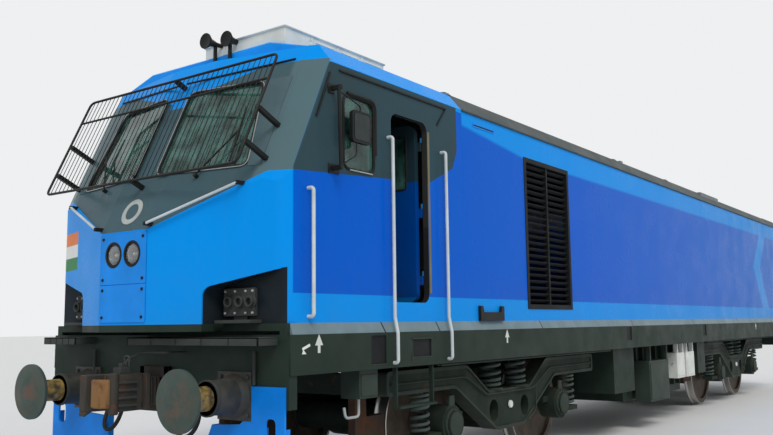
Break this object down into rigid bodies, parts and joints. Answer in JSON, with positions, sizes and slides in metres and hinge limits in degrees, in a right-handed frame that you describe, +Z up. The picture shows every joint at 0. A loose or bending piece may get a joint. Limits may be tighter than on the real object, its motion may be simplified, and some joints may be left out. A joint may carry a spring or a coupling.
{
  "type": "electric locomotive, one section of a two-section freight locomotive",
  "caption": "Broad-gauge electric freight locomotive section with a driving cab, powered bogies, cab and gangway doors and a single-arm pantograph.",
  "frame": {"origin": "middle of the length between buffer faces and the plane where the two sections meet, at the wheels' flange tips", "axes": "-X forward to the cab, +X to the other section, +Y the right-hand side seen facing forward, +Z up"},
  "size_m": [19.2, 3.252, 4.2998],
  "materials": {
    "side_blue": "deep blue gloss paint, dusty low down",
    "azure": "light blue gloss paint",
    "slate": "dark slate grey satin paint",
    "roof_grey": "dark grey roof paint, sooty",
    "frame_green": "green black underframe paint under dust",
    "ledge_grey": "light grey paint",
    "off_white": "off-white paint, stained",
    "black_metal": "black satin paint",
    "pale_rail": "pale grey paint on grab rails",
    "wheel_steel": "rolled steel, rust brown with bright treads",
    "cast": "cast steel, rust film",
    "spring_steel": "dark painted spring steel",
    "glass": "green tinted safety glass",
    "lamp_glass": "clear lamp glass over a bright reflector",
    "rubber": "black rubber",
    "porcelain": "brown glazed insulator",
    "copper": "weathered copper conductor",
    "panto_grey": "red brown paint on the pantograph",
    "desk_grey": "grey moulded desk",
    "seat_cloth": "dark seat fabric"
  },
  "bodies": {
    "carbody": {"underframe": "frame_green", "sill_ledges": "ledge_grey", "cab_shell": "azure", "body_sides": "side_blue", "side_grilles": "black_metal", "rear_wall": "side_blue", "cab_bulkhead": "desk_grey", "roof_hatches": "roof_grey", "nose_panel": "azure", "headlamps": "lamp_glass", "windscreens": "glass", "side_windows": "glass", "windscreen_guards": "black_metal", "wipers": "black_metal", "mirrors": "black_metal", "handrails": "pale_rail", "cab_steps": "frame_green", "buffers": "cast", "coupler_head": "cast", "coupler_knuckle": "cast", "rail_guard": "side_blue", "air_hoses": "rubber", "jumper_boxes": "off_white", "lifting_brackets": "black_metal", "aircon_unit": "off_white", "horns": "black_metal", "transformer": "frame_green", "underfloor_boxes": "off_white", "air_reservoirs": "frame_green", "roof_insulators": "porcelain", "roof_busbar": "copper", "pantograph_frame": "panto_grey", "driver_desk": "desk_grey", "driver_seats": "seat_cloth", "gangway": "rubber", "rear_drawbar": "cast"},
    "door_left": {"door_left": "side_blue"},
    "door_right": {"door_right": "side_blue"},
    "door_rear": {"door_rear": "side_blue"},
    "pantograph_lower": {"pantograph_lower_arm": "panto_grey"},
    "pantograph_upper": {"pantograph_upper_arm": "panto_grey"},
    "pantograph_head": {"pantograph_collector": "panto_grey"},
    "pantograph_rod": {"pantograph_guide_rod": "panto_grey"},
    "bogie_front": {"bogie_frame_front": "frame_green", "axleboxes_front": "frame_green", "springs_front": "spring_steel", "motors_front": "frame_green", "brakes_front": "cast"},
    "bogie_rear": {"bogie_frame_rear": "frame_green", "axleboxes_rear": "frame_green", "springs_rear": "spring_steel", "motors_rear": "frame_green", "brakes_rear": "cast"},
    "wheelset_1": {"wheelset_1": "wheel_steel"},
    "wheelset_2": {"wheelset_2": "wheel_steel"},
    "wheelset_3": {"wheelset_3": "wheel_steel"},
    "wheelset_4": {"wheelset_4": "wheel_steel"}
  },
  "joints": [
    {"name": "bogie_front_turn", "type": "hinge", "parent": "carbody", "child": "bogie_front", "pos_m": [-5, 0, 0.93], "axis": [0, 0, 1], "range_deg": [-4, 4]},
    {"name": "wheelset_1_roll", "type": "hinge", "parent": "bogie_front", "child": "wheelset_1", "pos_m": [-6.3, 0, 0.655], "axis": [0, 1, 0], "continuous": true},
    {"name": "wheelset_2_roll", "type": "hinge", "parent": "bogie_front", "child": "wheelset_2", "pos_m": [-3.7, 0, 0.655], "axis": [0, 1, 0], "continuous": true},
    {"name": "bogie_rear_turn", "type": "hinge", "parent": "carbody", "child": "bogie_rear", "pos_m": [5, 0, 0.93], "axis": [0, 0, 1], "range_deg": [-4, 4]},
    {"name": "wheelset_3_roll", "type": "hinge", "parent": "bogie_rear", "child": "wheelset_3", "pos_m": [3.7, 0, 0.655], "axis": [0, 1, 0], "continuous": true},
    {"name": "wheelset_4_roll", "type": "hinge", "parent": "bogie_rear", "child": "wheelset_4", "pos_m": [6.3, 0, 0.655], "axis": [0, 1, 0], "continuous": true},
    {"name": "door_left_swing", "type": "hinge", "parent": "carbody", "child": "door_left", "pos_m": [-6.958, -1.436, 2.73], "axis": [0, 0, 1], "range_deg": [0, 88]},
    {"name": "door_right_swing", "type": "hinge", "parent": "carbody", "child": "door_right", "pos_m": [-6.958, 1.436, 2.73], "axis": [0, 0, 1], "range_deg": [0, 88]},
    {"name": "door_rear_swing", "type": "hinge", "parent": "carbody", "child": "door_rear", "pos_m": [9.216, 0.344, 2.66], "axis": [0, 0, 1], "range_deg": [-88, 0]},
    {"name": "pantograph_raise", "type": "hinge", "parent": "carbody", "child": "pantograph_lower", "pos_m": [5.7, 0, 4.015], "axis": [0, -1, 0], "range_deg": [0, 55]},
    {"name": "pantograph_knee", "type": "hinge", "parent": "pantograph_lower", "child": "pantograph_upper", "pos_m": [7.44674, 0, 4.12183], "axis": [0, 1, 0], "range_deg": [0, 110]},
    {"name": "pantograph_level", "type": "hinge", "parent": "pantograph_upper", "child": "pantograph_head", "pos_m": [5.7, 0, 4.22867], "axis": [0, -1, 0], "range_deg": [0, 55]},
    {"name": "pantograph_guide", "type": "hinge", "parent": "carbody", "child": "pantograph_rod", "pos_m": [5.82, -0.11, 3.955], "axis": [0, -1, 0], "range_deg": [0, 55]}
  ],
  "couplings": [
    {"joint": "pantograph_knee", "follows": "pantograph_raise", "ratio": 2},
    {"joint": "pantograph_level", "follows": "pantograph_raise", "ratio": 1},
    {"joint": "pantograph_guide", "follows": "pantograph_raise", "ratio": 1}
  ]
}
